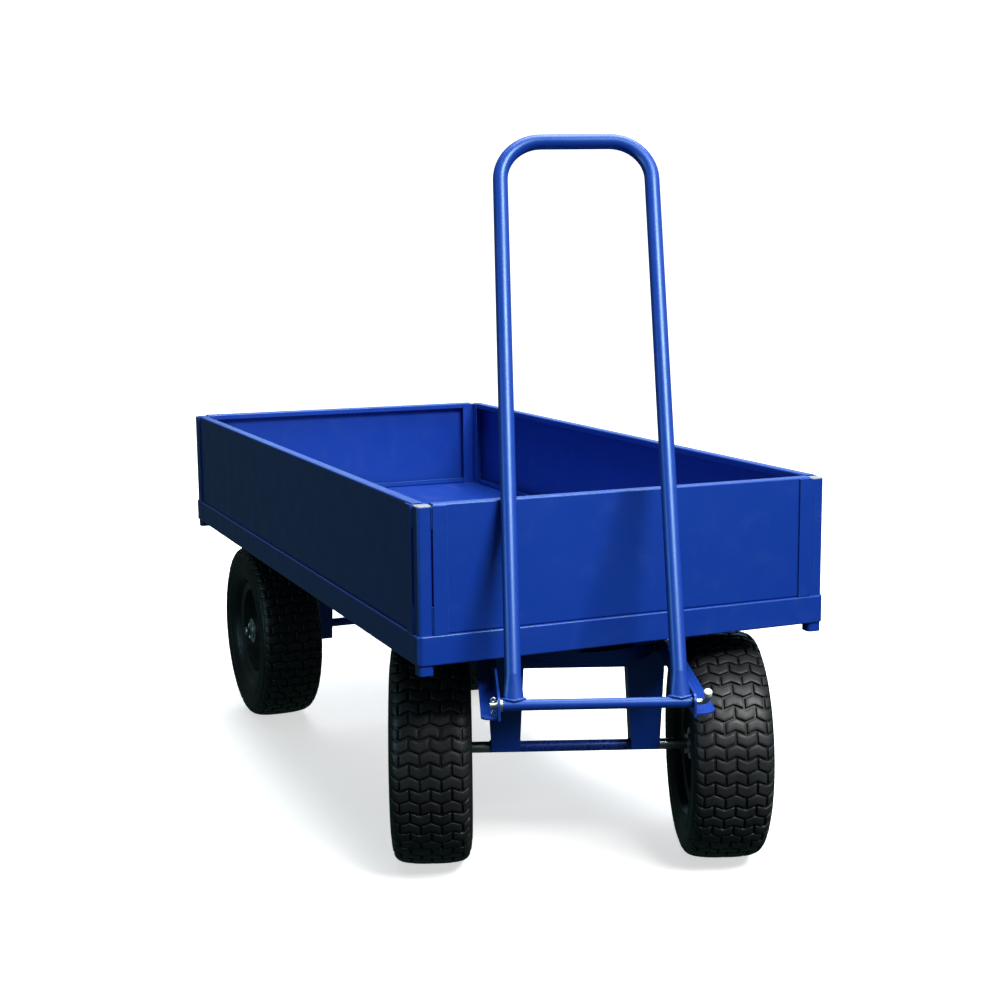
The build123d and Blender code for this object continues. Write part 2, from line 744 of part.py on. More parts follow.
def truck_nodes():
    nodes = {**chassis_nodes(), **bogie_nodes(), **handle_nodes()}
    for name, place in wheel_places().items():
        for node, pieces in wheel(name).items():
            nodes[node] = [place * piece for piece in pieces]
    return nodes


def main():
    nodes = truck_nodes()
    box = Compound([piece for pieces in nodes.values() for piece in pieces]).bounding_box()
    shift = Pos(-(box.min.X + box.max.X) / 2, -(box.min.Y + box.max.Y) / 2, -box.min.Z)
    print("moved by", shift.position, "size", box.size)
    os.makedirs("parts", exist_ok=True)
    for name, pieces in nodes.items():
        solids = [solid for piece in pieces for solid in (shift * piece).solids()]
        whole = solids[0] if len(solids) == 1 else Compound(solids)
        export_step(whole, f"parts/{name}.step")


main()
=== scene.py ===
import bpy
import json
import math
from mathutils import Matrix, Vector


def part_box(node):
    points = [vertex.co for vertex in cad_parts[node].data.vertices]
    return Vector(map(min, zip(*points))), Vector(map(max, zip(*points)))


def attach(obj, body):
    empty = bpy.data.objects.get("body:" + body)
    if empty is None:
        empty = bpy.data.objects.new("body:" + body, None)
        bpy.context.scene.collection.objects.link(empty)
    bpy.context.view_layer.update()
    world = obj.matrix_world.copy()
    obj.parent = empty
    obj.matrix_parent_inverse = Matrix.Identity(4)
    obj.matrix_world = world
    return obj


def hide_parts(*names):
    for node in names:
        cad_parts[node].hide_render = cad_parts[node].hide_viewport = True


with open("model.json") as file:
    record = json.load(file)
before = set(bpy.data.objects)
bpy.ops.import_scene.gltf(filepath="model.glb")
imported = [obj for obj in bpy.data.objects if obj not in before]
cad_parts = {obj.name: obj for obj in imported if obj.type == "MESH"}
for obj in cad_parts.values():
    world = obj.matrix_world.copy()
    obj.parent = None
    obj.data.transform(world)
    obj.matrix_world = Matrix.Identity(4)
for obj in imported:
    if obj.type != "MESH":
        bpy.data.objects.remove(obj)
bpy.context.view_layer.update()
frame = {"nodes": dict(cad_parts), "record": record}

# Turntable platform truck. Metres, in the row frame: +Z up, the draw handle at the -Y end.
# The CAD box is read before any visual piece is added.
nodes = frame["nodes"]
record = frame["record"]
joints = {joint["name"]: joint for joint in record["behaviour"]["joints"]}

# ---- camera, as the photographer stood ----
CAMERA_PLACE = (-1.200501, -2.974478, 1.079852)
CAMERA_TURN = -0.397027
CAMERA_TILT = 0.152004
CAMERA_ROLL = -0.009183
CAMERA_LENS = 57.77
CAMERA_SENSOR = 36.0

# ---- tyre tread; edges and pitch are arc lengths across the tread, from its centre line ----
TREAD_ROWS = 58
TREAD_PITCH = 0.036
TREAD_ZIGZAG = 0.0078
TREAD_DEPTH = 0.0045
TREAD_EDGE = 0.0755
TREAD_SHOULDER = 0.050
SHOULDER_FADE = 0.35
ODD_ROW_INSET = 0.003
GROOVE_HALF = 0.0021
LUG_ROOT = 0.0006
# (inset of the block's sides, depth below its top, share of dust and painted light on it), from the top
# face down to the root; darkest at the root, a painted shade in the crease
LUG_RINGS = ((0.0011, 0.0, 1.0), (0.0004, 0.0003, 0.9), (0.0, 0.0012, 0.45), (-0.0007, None, 0.0))
# Groove floors and sidewalls take less of the lighter rubber colour than the lug tops: dust, with painted
# shade in the grooves.
GROOVE_DUST_AND_LIGHT = 0.25
SIDEWALL_DUST_AND_LIGHT = 0.1

# ---- tyre casing; the ribs are arc lengths down the sidewall ----
CASING_STEPS = 46
SIDEWALL_RIBS = (0.098, 0.104, 0.118, 0.136)
RIB_HALF = 0.0011
RIB_HEIGHT = 0.0009

# ---- draw handle ----
HANDLE_LEAN = math.radians(24.88)
HANDLE_HALF_SPAN = 0.127
FOOT_HALF_WIDTH = 0.0165
FOOT_HALF_DEPTH = 0.0083
FOOT_EDGE_LOW = 0.0048
FOOT_EDGE_HIGH = 0.0088

# ---- axles: the body that holds each one and its bracket faces, measured from the axle's middle ----
AXLE_RADIUS = 0.010
AXLE_SEATS = {"front": ("bogie", (0.0985, 0.1515)), "rear": ("chassis", (0.1175, 0.1725))}
PAINT_PAST_BRACKET = 0.0015

# ---- welds; a ripple's length is in bead radii, stitches are heights above the deck ----
BEAD_RIPPLE = 1.3
BEAD_SIDES = 8
POST_BEAD = 0.0022
FOOT_BEAD = 0.0027
AXLE_BEAD = 0.0018
STITCH_ENDS = ((0.0, 0.046), (0.168, 0.204))
SEAM_INSET = 0.0244
SEAM_SINK = 0.0012

# ---- linear colours ----
PAINT_BLUE = (0.005, 0.037, 0.310)
PAINT_DEEP = (0.004, 0.033, 0.285)
# a paler blue painted along the edges: a painted highlight
PAINT_EDGE_HIGHLIGHT = (0.030, 0.110, 0.46)
PAINT_DUST = (0.10, 0.16, 0.36)
BARE_STEEL = (0.42, 0.42, 0.43)
RUBBER = (0.0075, 0.008, 0.009)
# lighter rubber for the lug tops: dust, and a painted highlight where light falls on the tops
RUBBER_DUST_AND_LIGHT = (0.024, 0.026, 0.028)
RUBBER_FILM = (0.018, 0.019, 0.019)


# ---- node helpers ----
def new_material(name, **even):
    """A material with one Principled shader; even holds the numbers that are the same all over."""
    material = bpy.data.materials.new(name)
    material.use_nodes = True
    tree = material.node_tree
    tree.nodes.clear()
    output = tree.nodes.new("ShaderNodeOutputMaterial")
    shader = tree.nodes.new("ShaderNodeBsdfPrincipled")
    tree.links.new(shader.outputs["BSDF"], output.inputs["Surface"])
    for socket, value in even.items():
        shader.inputs[socket.replace("_", " ")].default_value = value
    return material, tree, shader


def object_point(tree, stretch=(1, 1, 1)):
    """The shaded point in the piece's own metres, stretched for a directional grain."""
    place = tree.nodes.new("ShaderNodeTexCoord")
    mapping = tree.nodes.new("ShaderNodeMapping")
    mapping.inputs["Scale"].default_value = stretch
    tree.links.new(place.outputs["Object"], mapping.inputs["Vector"])
    return mapping.outputs["Vector"]


def noise(tree, scale, detail=3.0, stretch=(1, 1, 1)):
    """A value between 0 and 1 that varies over about 1 / scale metres."""
    node = tree.nodes.new("ShaderNodeTexNoise")
    node.inputs["Scale"].default_value = scale
    node.inputs["Detail"].default_value = detail
    tree.links.new(object_point(tree, stretch), node.inputs["Vector"])
    return node.outputs["Fac"]


def remap(tree, value, low, high, to_low=0.0, to_high=1.0):
    """The value's range from low to high, clamped and carried onto another range."""
    node = tree.nodes.new("ShaderNodeMapRange")
    node.inputs["From Min"].default_value = low
    node.inputs["From Max"].default_value = high
    node.inputs["To Min"].default_value = to_low
    node.inputs["To Max"].default_value = to_high
    tree.links.new(value, node.inputs["Value"])
    return node.outputs["Result"]


def times(tree, first, second):
    """The product of two values."""
    node = tree.nodes.new("ShaderNodeMath")
    node.operation = "MULTIPLY"
    tree.links.new(first, node.inputs[0])
    tree.links.new(second, node.inputs[1])
    return node.outputs[0]


def blend_colour(tree, share, first, second):
    """From the first colour to the second as share goes from 0 to 1; each is a tuple or a socket."""
    node = tree.nodes.new("ShaderNodeMix")
    node.data_type = "RGBA"
    tree.links.new(share, node.inputs["Factor"])
    for socket, colour in ((node.inputs[6], first), (node.inputs[7], second)):
        if isinstance(colour, tuple):
            socket.default_value = (*colour, 1)
        else:
            tree.links.new(colour, socket)
    return node.outputs[2]


def bump(tree, height, distance, strength, normal=None):
    """A normal that follows the height, given in units of distance metres."""
    node = tree.nodes.new("ShaderNodeBump")
    node.inputs["Distance"].default_value = distance
    node.inputs["Strength"].default_value = strength
    tree.links.new(height, node.inputs["Height"])
    if normal is not None:
        tree.links.new(normal, node.inputs["Normal"])
    return node.outputs["Normal"]


def rounded_edges(tree, radius):
    """(a normal that rounds the edges over radius metres, a mask that is 1 along the edges)."""
    bevel = tree.nodes.new("ShaderNodeBevel")
    bevel.samples = 6
    bevel.inputs["Radius"].default_value = radius
    geometry = tree.nodes.new("ShaderNodeNewGeometry")
    dot = tree.nodes.new("ShaderNodeVectorMath")
    dot.operation = "DOT_PRODUCT"
    tree.links.new(bevel.outputs["Normal"], dot.inputs[0])
    tree.links.new(geometry.outputs["Normal"], dot.inputs[1])
    return bevel.outputs["Normal"], remap(tree, dot.outputs["Value"], 0.995, 0.86)


# ---- materials ----
def powder_coat(name, wear):
    """Glossy powder coat with a fine orange peel, a pale painted highlight along its edges and a little
    dust.
    """
    material, tree, shader = new_material(
        name, IOR=1.58, Coat_Weight=0.04, Coat_Roughness=0.20, Specular_Tint=(0.50, 0.84, 1.0, 1.0)
    )
    colour = blend_colour(tree, remap(tree, noise(tree, 3.5), 0.3, 0.7), PAINT_BLUE, PAINT_DEEP)
    # Edges are painted paler in patches, a painted highlight standing in for light caught on the rounded
    # edges.
    edge_normal, edge = rounded_edges(tree, 0.0012)
    edge_highlight = times(tree, edge, remap(tree, noise(tree, 90.0, 4.0), 0.3, 0.7, 0.3, 0.8))
    colour = blend_colour(tree, edge_highlight, colour, PAINT_EDGE_HIGHLIGHT)
    dust = remap(tree, noise(tree, 26.0, 7.0, (1.0, 0.3, 1.0)), 0.55, 0.85, 0.0, 0.12 * wear)
    colour = blend_colour(tree, dust, colour, PAINT_DUST)
    tree.links.new(colour, shader.inputs["Base Color"])
    gloss = remap(tree, noise(tree, 22.0, 4.0), 0.3, 0.75, 0.33, 0.41)
    tree.links.new(gloss, shader.inputs["Roughness"])
    peel = bump(tree, noise(tree, 420.0, 2.0), 0.00010, 0.18, edge_normal)
    tree.links.new(peel, shader.inputs["Normal"])
    return material


def painted_axle(name, middle, axis, half_length):
    """Painted up to half_length from the middle of the bar, bare steel with darker smears beyond."""
    material, tree, shader = new_material(name)
    offset = tree.nodes.new("ShaderNodeVectorMath")
    offset.operation = "SUBTRACT"
    offset.inputs[1].default_value = middle
    tree.links.new(object_point(tree), offset.inputs[0])
    along = tree.nodes.new("ShaderNodeVectorMath")
    along.operation = "DOT_PRODUCT"
    along.inputs[1].default_value = axis
    tree.links.new(offset.outputs["Vector"], along.inputs[0])
    reach = tree.nodes.new("ShaderNodeMath")
    reach.operation = "ABSOLUTE"
    tree.links.new(along.outputs["Value"], reach.inputs[0])
    end = remap(tree, reach.outputs[0], half_length - 0.002, half_length + 0.002)
    smear = remap(tree, noise(tree, 140.0, 5.0), 0.4, 0.75, 0.0, 0.6)
    steel = blend_colour(tree, smear, BARE_STEEL, tuple(0.5 * c for c in BARE_STEEL))
    tree.links.new(blend_colour(tree, end, PAINT_BLUE, steel), shader.inputs["Base Color"])
    tree.links.new(end, shader.inputs["Metallic"])
    rough = remap(tree, noise(tree, 220.0, 4.0), 0.3, 0.7, 0.22, 0.38)
    tree.links.new(rough, shader.inputs["Roughness"])
    edge_normal, _ = rounded_edges(tree, 0.0006)
    grain = bump(tree, noise(tree, 300.0, 2.0), 0.00005, 0.2, edge_normal)
    tree.links.new(grain, shader.inputs["Normal"])
    return material


def rubber(name):
    """Black rubber, lighter where the mesh's lug_top attribute is high, under a thin film: dust together
    with a painted highlight on the lug tops and painted shade down to the block roots.
    """
    material, tree, shader = new_material(name, Specular_IOR_Level=0.28)
    attribute = tree.nodes.new("ShaderNodeAttribute")
    attribute.attribute_name = "lug_top"
    patches = remap(tree, noise(tree, 28.0, 6.0), 0.35, 0.75, 0.25, 1.0)
    # The lug tops are painted lighter and the block roots darker: dust plus painted light and shade.
    dusty_and_lit = times(tree, attribute.outputs["Fac"], patches)
    colour = blend_colour(tree, dusty_and_lit, RUBBER, RUBBER_DUST_AND_LIGHT)
    film = remap(tree, noise(tree, 11.0, 5.0), 0.45, 0.85, 0.0, 0.35)
    colour = blend_colour(tree, film, colour, RUBBER_FILM)
    tree.links.new(colour, shader.inputs["Base Color"])
    sheen = remap(tree, noise(tree, 60.0, 4.0), 0.3, 0.7, 0.38, 0.52)
    tree.links.new(sheen, shader.inputs["Roughness"])
    skin = bump(tree, noise(tree, 480.0, 5.0), 0.0003, 0.5)
    tree.links.new(skin, shader.inputs["Normal"])
    return material


def plated_steel(name, colour, dark, stretch):
    """Zinc plate or turned steel with a fine grain and darker stains."""
    material, tree, shader = new_material(name, Metallic=1.0)
    stain = remap(tree, noise(tree, 120.0, 5.0), 0.42, 0.78, 0.0, 0.8)
    tree.links.new(blend_colour(tree, stain, colour, dark), shader.inputs["Base Color"])
    rough = remap(tree, noise(tree, 260.0, 4.0, stretch), 0.3, 0.7, 0.22, 0.42)
    tree.links.new(rough, shader.inputs["Roughness"])
    edge_normal, _ = rounded_edges(tree, 0.0004)
    grain = bump(tree, noise(tree, 900.0, 2.0, stretch), 0.00005, 0.4, edge_normal)
    tree.links.new(grain, shader.inputs["Normal"])
    return material


def enamel(name, colour, dust):
    """Dark rim enamel under a film of road dust."""
    material, tree, shader = new_material(name, Coat_Weight=0.2, Coat_Roughness=0.2)
    film = remap(tree, noise(tree, 34.0, 6.0), 0.40, 0.80, 0.0, 0.5)
    tree.links.new(blend_colour(tree, film, colour, dust), shader.inputs["Base Color"])
    rough = remap(tree, noise(tree, 55.0, 4.0), 0.3, 0.7, 0.30, 0.55)
    tree.links.new(rough, shader.inputs["Roughness"])
    edge_normal, _ = rounded_edges(tree, 0.0008)
    peel = bump(tree, noise(tree, 600.0, 2.0), 0.00015, 0.3, edge_normal)
    tree.links.new(peel, shader.inputs["Normal"])
    return material


def moulded_plastic(name, colour, shade):
    """Moulded plastic with a faint mottle and a fine spark-eroded texture."""
    material, tree, shader = new_material(name, Specular_IOR_Level=0.4)
    mottle = remap(tree, noise(tree, 90.0, 4.0), 0.3, 0.8, 0.0, 0.5)
    tree.links.new(blend_colour(tree, mottle, colour, shade), shader.inputs["Base Color"])
    rough = remap(tree, noise(tree, 200.0, 3.0), 0.3, 0.7, 0.35, 0.55)
    tree.links.new(rough, shader.inputs["Roughness"])
    edge_normal, _ = rounded_edges(tree, 0.0006)
    pits = bump(tree, noise(tree, 1800.0, 2.0), 0.00006, 0.5, edge_normal)
    tree.links.new(pits, shader.inputs["Normal"])
    return material


def floor_coat(name):
    """Pale, even studio floor that keeps a soft shadow and glows more the further out it is."""
    material, tree, shader = new_material(name, Roughness=0.9, Specular_IOR_Level=0.1)
    tint = remap(tree, noise(tree, 0.8, 3.0), 0.3, 0.7)
    colour = blend_colour(tree, tint, (0.80, 0.80, 0.80), (0.83, 0.83, 0.83))
    tree.links.new(colour, shader.inputs["Base Color"])
    distance = tree.nodes.new("ShaderNodeVectorMath")
    distance.operation = "LENGTH"
    tree.links.new(object_point(tree), distance.inputs[0])
    glow = remap(tree, distance.outputs["Value"], 2.2, 6.0, 1.0, 1.75)
    tree.links.new(glow, shader.inputs["Emission Color"])
    shader.inputs["Emission Strength"].default_value = 0.62
    return material


MATERIALS = {
    "blue_paint": powder_coat("blue_powder_coat", 0.8),
    "deck_paint": powder_coat("deck_powder_coat", 3.0),
    "rim_paint": enamel("rim_enamel", (0.016, 0.017, 0.019), (0.045, 0.046, 0.045)),
    "tyre_rubber": rubber("tread_rubber"),
    "tube_rubber": rubber("tube_rubber"),
    "zinc": plated_steel("zinc_plate", (0.62, 0.63, 0.65), (0.30, 0.30, 0.30), (1, 1, 1)),
    "steel": plated_steel("turned_steel", (0.48, 0.48, 0.49), (0.2, 0.19, 0.18), (0.2, 1, 1)),
    "cap_plastic": moulded_plastic("cap_plastic", (0.27, 0.29, 0.31), (0.20, 0.22, 0.25)),
    "white_plastic": moulded_plastic("white_plastic", (0.86, 0.88, 0.86), (0.74, 0.77, 0.77)),
}


# ---- CAD nodes ----
def paint_cad_nodes():
    """Each CAD node takes the material of its slot in the record."""
    for part in record["subparts"]:
        node = nodes[part["node"]]
        node.data.materials.clear()
        node.data.materials.append(MATERIALS[part["material_slot"]])


def axle_frame(end):
    """(middle of the axle, its direction) at one end of the truck."""
    right, left = joints[f"{end}_right_spin"], joints[f"{end}_left_spin"]
    return (Vector(right["pos_m"]) + Vector(left["pos_m"])) / 2, Vector(right["axis"]).normalized()


def bare_axle_ends():
    """Both axles are painted only as far as their brackets; their ends stay bright."""
    for end, (_, faces) in AXLE_SEATS.items():
        node = nodes[f"{end}_axle"]
        painted = max(faces) + PAINT_PAST_BRACKET
        middle, axis = axle_frame(end)
        to_node = node.matrix_world.inverted()
        middle, axis = to_node @ middle, to_node.to_3x3() @ axis
        material = painted_axle(f"{end}_axle_finish", middle, axis, painted)
        node.data.materials.clear()
        node.data.materials.append(material)


# ---- mesh helpers ----
def smooth_object(name, verts, faces, material):
    """A smooth-shaded object made of those points and faces."""
    mesh = bpy.data.meshes.new(name)
    mesh.from_pydata([tuple(v) for v in verts], [], faces)
    mesh.validate()
    mesh.update()
    mesh.materials.append(material)
    for polygon in mesh.polygons:
        polygon.use_smooth = True
    made = bpy.data.objects.new(name, mesh)
    bpy.context.scene.collection.objects.link(made)
    return made


def mesh_piece(name, verts, faces, slot, body):
    """A new piece of the truck, in one of the record's material slots, that rides on a CAD body."""
    piece = smooth_object(name, verts, faces, MATERIALS[slot])
    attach(piece, body)
    return piece


def smooth_through(points, steps):
    """Catmull-Rom points through a list of 2-D points, steps to a span."""
    ends = [points[0], *points, points[-1]]
    out = []
    for i in range(1, len(ends) - 2):
        p0, p1, p2, p3 = (Vector(p) for p in ends[i - 1:i + 3])
        for k in range(steps):
            t = k / steps
            out.append(0.5 * (
                2 * p1 + (p2 - p0) * t
                + (2 * p0 - 5 * p1 + 4 * p2 - p3) * t * t
                + (3 * p1 - p0 - 3 * p2 + p3) * t ** 3
            ))
    out.append(Vector(points[-1]))
    return out


# ---- tyres ----
class TyreSection:
    """Half of the casing's outer section, read by its arc length from the crown."""

    SHAPE = [
        (0.0, 1.0), (0.22, 0.9993), (0.42, 0.9965), (0.62, 0.9885), (0.78, 0.975), (0.89, 0.951),
        (0.955, 0.913), (0.99, 0.86), (1.0, 0.80), (0.985, 0.735), (0.93, 0.665),
        (0.84, 0.617), (0.73, 0.589), (0.652, 0.572), (0.63, 0.54), (0.614, 0.503),
    ]
    SPAN_STEPS = 12
    INSIDE = [(0.50, 0.502), (0.55, 0.56), (0.72, 0.615), (0.85, 0.68), (0.90, 0.78),
              (0.84, 0.875), (0.70, 0.925), (0.45, 0.945), (0.0, 0.948)]

    def __init__(self, half_width, radius):
        self.half_width = half_width
        self.radius = radius
        outline = [(u * half_width, v * radius) for u, v in self.SHAPE]
        self.points = smooth_through(outline, self.SPAN_STEPS)
        self.lengths = [0.0]
        for a, b in zip(self.points, self.points[1:]):
            self.lengths.append(self.lengths[-1] + (b - a).length)

    def at(self, along, depth):
        """(x, radius) at a signed arc length, sunk by depth along the section's normal."""
        reach = min(abs(along), self.lengths[-1])
        i = max(1, next((k for k, s in enumerate(self.lengths) if s >= reach), len(self.lengths) - 1))
        a, b = self.points[i - 1], self.points[i]
        share = (reach - self.lengths[i - 1]) / max(1e-9, self.lengths[i] - self.lengths[i - 1])
        place = a.lerp(b, share)
        run = (b - a).normalized()
        place = place - depth * Vector((-run.y, run.x))
        return (math.copysign(place.x, along) if along else 0.0), place.y


def zigzag(along):
    """How far a tread row's edge runs ahead at that arc length: a peak on the centre line."""
    phase = (abs(along) / TREAD_PITCH) % 1.0
    return TREAD_ZIGZAG * (0.5 - 2 * min(phase, 1 - phase))


def lug_depth(along):
    """How deep a groove is at that arc length: shallower over the shoulders."""
    fade = min(1.0, max(0.0, (abs(along) - TREAD_SHOULDER) / (TREAD_EDGE - TREAD_SHOULDER)))
    return TREAD_DEPTH * (1 - SHOULDER_FADE * fade)


def grid_rim(columns, ranks):
    """The (column, rank) places right round the outside of a grid."""
    rim = [(i, 0) for i in range(columns)] + [(columns, j) for j in range(ranks)]
    rim += [(i, ranks) for i in range(columns, 0, -1)] + [(0, j) for j in range(ranks, 0, -1)]
    return rim


def add_lug(section, verts, faces, dust_and_light_shares, start, end, row, angle_step):
    """One tread block between two arc lengths of a row, with rounded shoulders and drafted sides."""
    columns = 6
    ranks = 3
    row_half = angle_step * section.radius / 2
    base = len(verts)

    def point(s, t, inset, depth):
        """A place on the block, s along the row and t across it; without a depth it is at the root."""
        low = start + GROOVE_HALF + inset
        high = end - GROOVE_HALF - inset
        along = low + (high - low) * s
        half = row_half - GROOVE_HALF - inset
        ahead = zigzag(along) + half * (2 * t - 1)
        x, r = section.at(along, lug_depth(along) + LUG_ROOT if depth is None else depth)
        angle = row * angle_step + ahead / section.radius
        return Vector((x, -r * math.cos(angle), r * math.sin(angle)))

    # Each ring's dust value is its share of dust and painted light: lit tops, painted shade at the root.
    inset, depth, dust = LUG_RINGS[0]
    for j in range(ranks + 1):
        for i in range(columns + 1):
            verts.append(point(i / columns, j / ranks, inset, depth))
            dust_and_light_shares.append(dust)
    for j in range(ranks):
        for i in range(columns):
            a = base + j * (columns + 1) + i
            faces.append((a, a + 1, a + columns + 2, a + columns + 1))

    rim = grid_rim(columns, ranks)
    previous = [base + j * (columns + 1) + i for i, j in rim]
    for inset, depth, dust in LUG_RINGS[1:]:
        ring = []
        for i, j in rim:
            ring.append(len(verts))
            verts.append(point(i / columns, j / ranks, inset, depth))
            dust_and_light_shares.append(dust)
        for k in range(len(rim)):
            following = (k + 1) % len(rim)
            faces.append((previous[following], previous[k], ring[k], ring[following]))
        previous = ring


def casing_ring(section):
    """The closed casing section: groove floor, sidewalls with moulded ribs, beads and inside."""
    reach = section.lengths[-1]
    stations = {reach * k / CASING_STEPS for k in range(CASING_STEPS + 1)}
    across_rib = (-2.2, -1.2, -0.5, 0, 0.5, 1.2, 2.2)
    stations |= {rib + offset * RIB_HALF for rib in SIDEWALL_RIBS for offset in across_rib}
    tread_end = TREAD_EDGE + 0.0025
    tread_runout = 0.004
    outer = []
    for along in sorted(stations):
        in_tread = min(1.0, max(0.0, (tread_end - along) / tread_runout))
        depth = lug_depth(along) * in_tread
        for rib in SIDEWALL_RIBS:
            depth -= RIB_HEIGHT * math.exp(-((along - rib) / RIB_HALF) ** 2)
        outer.append(section.at(along, depth))
    inside = [(u * section.half_width, v * section.radius) for u, v in section.INSIDE]
    right = outer + inside
    left = [(-x, r) for x, r in reversed(right)]
    return right[:-1] + left[:-1]


def casing_mesh(section):
    """(points, faces, share of dust and painted light at each point) of the casing, turned about the X
    axis.
    """
    ring = casing_ring(section)
    count = len(ring)
    segments = 4 * TREAD_ROWS
    tread_radius = 0.95 * section.radius
    verts, faces, dust_and_light_shares = [], [], []
    for k in range(segments):
        angle = 2 * math.pi * k / segments
        for x, r in ring:
            verts.append(Vector((x, -r * math.cos(angle), r * math.sin(angle))))
            # Groove floor and sidewall get the smaller shares: painted shade below the lit lug tops, with
            # dust.
            dust_and_light_shares.append(GROOVE_DUST_AND_LIGHT if r > tread_radius else SIDEWALL_DUST_AND_LIGHT)
    for k in range(segments):
        for i in range(count):
            a = k * count + i
            b = k * count + (i + 1) % count
            c = ((k + 1) % segments) * count + (i + 1) % count
            d = ((k + 1) % segments) * count + i
            faces.append((a, d, c, b))
    return verts, faces, dust_and_light_shares


def row_places(row):
    """Where the blocks of a tread row begin and end; every other row is shifted half a pitch."""
    edge, splits = TREAD_EDGE, (-1.5, -0.5, 0.5, 1.5)
    if row % 2:
        edge, splits = TREAD_EDGE - ODD_ROW_INSET, (-1, 0, 1)
    return [-edge, *(k * TREAD_PITCH for k in splits), edge]


def tyre_mesh(half_width, radius):
    """The moulded tyre about the origin, its axle along X: casing and tread blocks."""
    section = TyreSection(half_width, radius)
    verts, faces, dust_and_light_shares = casing_mesh(section)
    step = 2 * math.pi / TREAD_ROWS
    for row in range(TREAD_ROWS):
        places = row_places(row)
        for start, end in zip(places, places[1:]):
            add_lug(section, verts, faces, dust_and_light_shares, start, end, row, step)
    return verts, faces, dust_and_light_shares


def make_tyres():
    """A moulded tyre for each wheel, in place of the plain CAD casing."""
    low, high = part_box("rear_left_tyre")
    verts, faces, dust_and_light_shares = tyre_mesh((high.x - low.x) / 2, (high.z - low.z) / 2)
    for wheel in ("front_left", "front_right", "rear_left", "rear_right"):
        joint = joints[f"{wheel}_spin"]
        axis = Vector(joint["axis"]).normalized()
        turn = Vector((1, 0, 0)).rotation_difference(axis).to_matrix()
        centre = Vector(joint["pos_m"])
        placed = [centre + turn @ v for v in verts]
        tyre = mesh_piece(f"{wheel}_treaded_tyre", placed, faces, "tyre_rubber", f"{wheel}_wheel")
        values = tyre.data.attributes.new("lug_top", "FLOAT", "POINT")
        values.data.foreach_set("value", dust_and_light_shares)
        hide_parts(f"{wheel}_tyre")


# ---- welds ----
def walk_line(line, spacing):
    """Points about spacing apart, straight from each of the line's points to the next."""
    points = []
    for a, b in zip(line, line[1:]):
        steps = max(1, round((b - a).length / spacing))
        points += [a.lerp(b, k / steps) for k in range(steps)]
    points.append(line[-1])
    return points


def bead_sizes(points, radius, closed):
    """The bead's radius at each point: ripples and a slow drift, with small ends if it's open."""
    ripple = BEAD_RIPPLE * radius
    sizes = []
    walked = 0.0
    for k, place in enumerate(points):
        walked += (place - points[max(k - 1, 0)]).length
        swell = 0.84 + 0.16 * abs(math.sin(math.pi * walked / ripple))
        drift = 0.06 * math.sin(1.7 * k) + 0.05 * math.sin(0.61 * k + 1.0)
        end = 1.0 if closed else min(1.0, 0.35 + 0.3 * min(k, len(points) - 1 - k))
        sizes.append(radius * end * (swell + drift))
    return sizes


def round_bar(points, sizes, capped):
    """(points, faces) of a round bar along the points, with a radius for each point."""
    verts, faces = [], []
    for k, place in enumerate(points):
        run = (points[min(k + 1, len(points) - 1)] - points[max(k - 1, 0)]).normalized()
        level = Vector((1, 0, 0)) if abs(run.z) > 0.9 else Vector((0, 0, 1))
        side = run.cross(level).normalized()
        other = run.cross(side)
        for j in range(BEAD_SIDES):
            angle = 2 * math.pi * j / BEAD_SIDES
            verts.append(place + sizes[k] * (math.cos(angle) * side + math.sin(angle) * other))
    for k in range(len(points) - 1):
        for j in range(BEAD_SIDES):
            a, b = k * BEAD_SIDES + j, k * BEAD_SIDES + (j + 1) % BEAD_SIDES
            faces.append((a, b, b + BEAD_SIDES, a + BEAD_SIDES))
    if capped:
        faces.append(tuple(reversed(range(BEAD_SIDES))))
        last = (len(points) - 1) * BEAD_SIDES
        faces.append(tuple(last + j for j in range(BEAD_SIDES)))
    return verts, faces


def weld_bead(name, path, radius, body, closed=False):
    """A lumpy bead along a list of points: overlapping ripples like a hand-laid weld."""
    line = [Vector(p) for p in path]
    if closed:
        line.append(line[0])
    points = walk_line(line, BEAD_RIPPLE * radius / 4)
    verts, faces = round_bar(points, bead_sizes(points, radius, closed), not closed)
    mesh_piece(name, verts, faces, "blue_paint", body)


def post_welds():
    """Two stitches in the corner between each post and each of its board guides."""
    posts_low, posts_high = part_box("corner_posts")
    frame_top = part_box("deck_sheet")[1].z
    middle = (posts_low + posts_high) / 2
    half = (posts_high - posts_low) / 2
    for sx in (-1, 1):
        for sy in (-1, 1):
            corner = (middle.x + sx * half.x, middle.y + sy * half.y)
            seams = {
                "end": (corner[0] - sx * SEAM_INSET, corner[1] - sy * SEAM_SINK),
                "side": (corner[0] - sx * SEAM_SINK, corner[1] - sy * SEAM_INSET),
            }
            for seam, (x, y) in seams.items():
                for stitch, (z0, z1) in enumerate(STITCH_ENDS):
                    path = [(x, y, frame_top + z0), (x, y, frame_top + z1)]
                    name = f"post_weld_{seam}_{sx + 1}{sy + 1}_{stitch}"
                    weld_bead(name, path, POST_BEAD, "chassis")


def handle_frame():
    """(pivot point, pivot axis, across the handle's plane, up the handle) at rest."""
    joint = joints["handle_tilt"]
    axis = Vector(joint["axis"]).normalized()
    up = Vector((0, 0, 1))
    back = up.cross(axis)
    across = back * math.cos(HANDLE_LEAN) - up * math.sin(HANDLE_LEAN)
    along = back * math.sin(HANDLE_LEAN) + up * math.cos(HANDLE_LEAN)
    return Vector(joint["pos_m"]), axis, across, along


